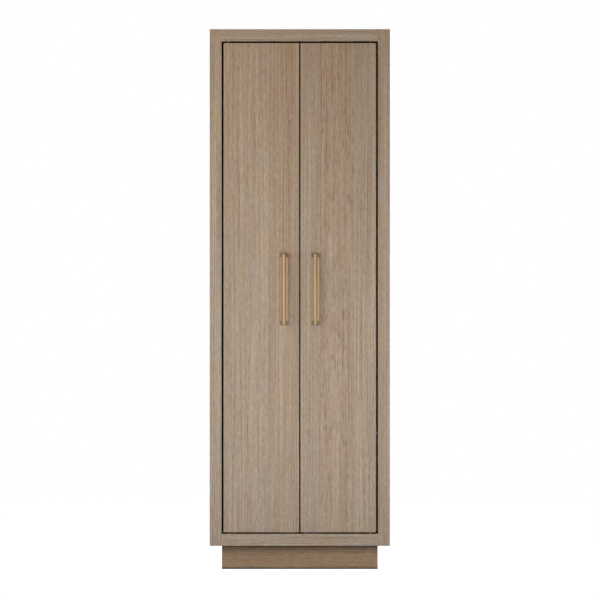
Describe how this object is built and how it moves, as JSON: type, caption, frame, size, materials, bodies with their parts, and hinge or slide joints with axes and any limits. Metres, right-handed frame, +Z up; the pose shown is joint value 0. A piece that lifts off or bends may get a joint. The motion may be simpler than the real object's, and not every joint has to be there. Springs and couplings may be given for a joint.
{
  "type": "broom cupboard",
  "caption": "Tall two-door broom cupboard in pale oak veneer on a recessed plinth, with brass bar handles on slim plates, a broom bay with pegs and shelves inside.",
  "frame": {"origin": "on the floor, in the middle of the overall box, handles included", "axes": "+X to the right seen from the front, +Y from the doors to the back, +Z up"},
  "size_m": [0.61, 0.493, 1.828],
  "materials": {
    "oak_veneer": "pale oak veneer, matt lacquer",
    "oak_lipping": "solid oak strip, matt lacquer",
    "oak_inside": "pale oak veneer, matt lacquer",
    "back_board": "oak veneer on thin board",
    "plinth_wood": "plain unfinished wood",
    "turned_wood": "turned hardwood, bare",
    "satin_brass": "satin brass",
    "hinge_brass": "brass, bronzed dark",
    "screw_steel": "zinc-plated steel",
    "bright_steel": "bright steel",
    "magnet_steel": "dark magnet between steel poles",
    "catch_plastic": "pale matt plastic",
    "foot_plastic": "black moulded plastic"
  },
  "bodies": {
    "cabinet": {"left_side_panel": "oak_veneer", "right_side_panel": "oak_veneer", "top_panel": "oak_veneer", "bottom_panel": "oak_veneer", "side_front_lippings": "oak_lipping", "rail_front_lippings": "oak_lipping", "case_dowels": "turned_wood", "inner_dowels": "turned_wood", "back_panel": "back_board", "back_panel_screws": "screw_steel", "fixed_shelf": "oak_inside", "loose_shelf_1": "oak_inside", "loose_shelf_2": "oak_inside", "loose_shelf_3": "oak_inside", "shelf_lippings": "oak_lipping", "partition": "oak_inside", "partition_lipping": "oak_lipping", "shelf_pins": "bright_steel", "peg_rail": "oak_inside", "broom_pegs": "turned_wood", "wall_rail": "oak_inside", "rail_screws": "screw_steel", "plinth_front": "oak_veneer", "plinth_back": "plinth_wood", "plinth_left_end": "oak_veneer", "plinth_right_end": "oak_veneer", "plinth_corner_blocks": "plinth_wood", "plinth_screws": "screw_steel", "foot_inserts": "bright_steel", "hinge_case_leaves": "hinge_brass", "hinge_pins": "bright_steel", "hinge_washers": "hinge_brass", "hinge_case_screws": "screw_steel", "catch_housings": "catch_plastic", "catch_magnets": "magnet_steel", "catch_screws": "screw_steel"},
    "left_door": {"left_door_panel": "oak_veneer", "left_door_lipping": "oak_lipping", "left_door_hinge_leaves": "hinge_brass", "left_door_hinge_screws": "screw_steel", "left_strike_plates": "bright_steel", "left_strike_screws": "screw_steel", "left_handle_bar": "satin_brass", "left_handle_posts": "satin_brass", "left_handle_plate": "satin_brass", "left_handle_screws": "screw_steel"},
    "right_door": {"right_door_panel": "oak_veneer", "right_door_lipping": "oak_lipping", "right_door_hinge_leaves": "hinge_brass", "right_door_hinge_screws": "screw_steel", "right_strike_plates": "bright_steel", "right_strike_screws": "screw_steel", "right_handle_bar": "satin_brass", "right_handle_posts": "satin_brass", "right_handle_plate": "satin_brass", "right_handle_screws": "screw_steel"},
    "foot_front_left": {"levelling_foot_front_left": "foot_plastic"},
    "foot_front_right": {"levelling_foot_front_right": "foot_plastic"},
    "foot_back_left": {"levelling_foot_back_left": "foot_plastic"},
    "foot_back_right": {"levelling_foot_back_right": "foot_plastic"}
  },
  "joints": [
    {"name": "left_door_hinge", "type": "hinge", "parent": "cabinet", "child": "left_door", "pos_m": [-0.2405, -0.1995, 0.953], "axis": [0, 0, -1], "range_deg": [0, 125]},
    {"name": "right_door_hinge", "type": "hinge", "parent": "cabinet", "child": "right_door", "pos_m": [0.2405, -0.1995, 0.953], "axis": [0, 0, 1], "range_deg": [0, 125]},
    {"name": "foot_front_left_adjust", "type": "slide", "parent": "cabinet", "child": "foot_front_left", "axis": [0, 0, -1], "range_m": [0, 0.015]},
    {"name": "foot_front_right_adjust", "type": "slide", "parent": "cabinet", "child": "foot_front_right", "axis": [0, 0, -1], "range_m": [0, 0.015]},
    {"name": "foot_back_left_adjust", "type": "slide", "parent": "cabinet", "child": "foot_back_left", "axis": [0, 0, -1], "range_m": [0, 0.015]},
    {"name": "foot_back_right_adjust", "type": "slide", "parent": "cabinet", "child": "foot_back_right", "axis": [0, 0, -1], "range_m": [0, 0.015]}
  ]
}
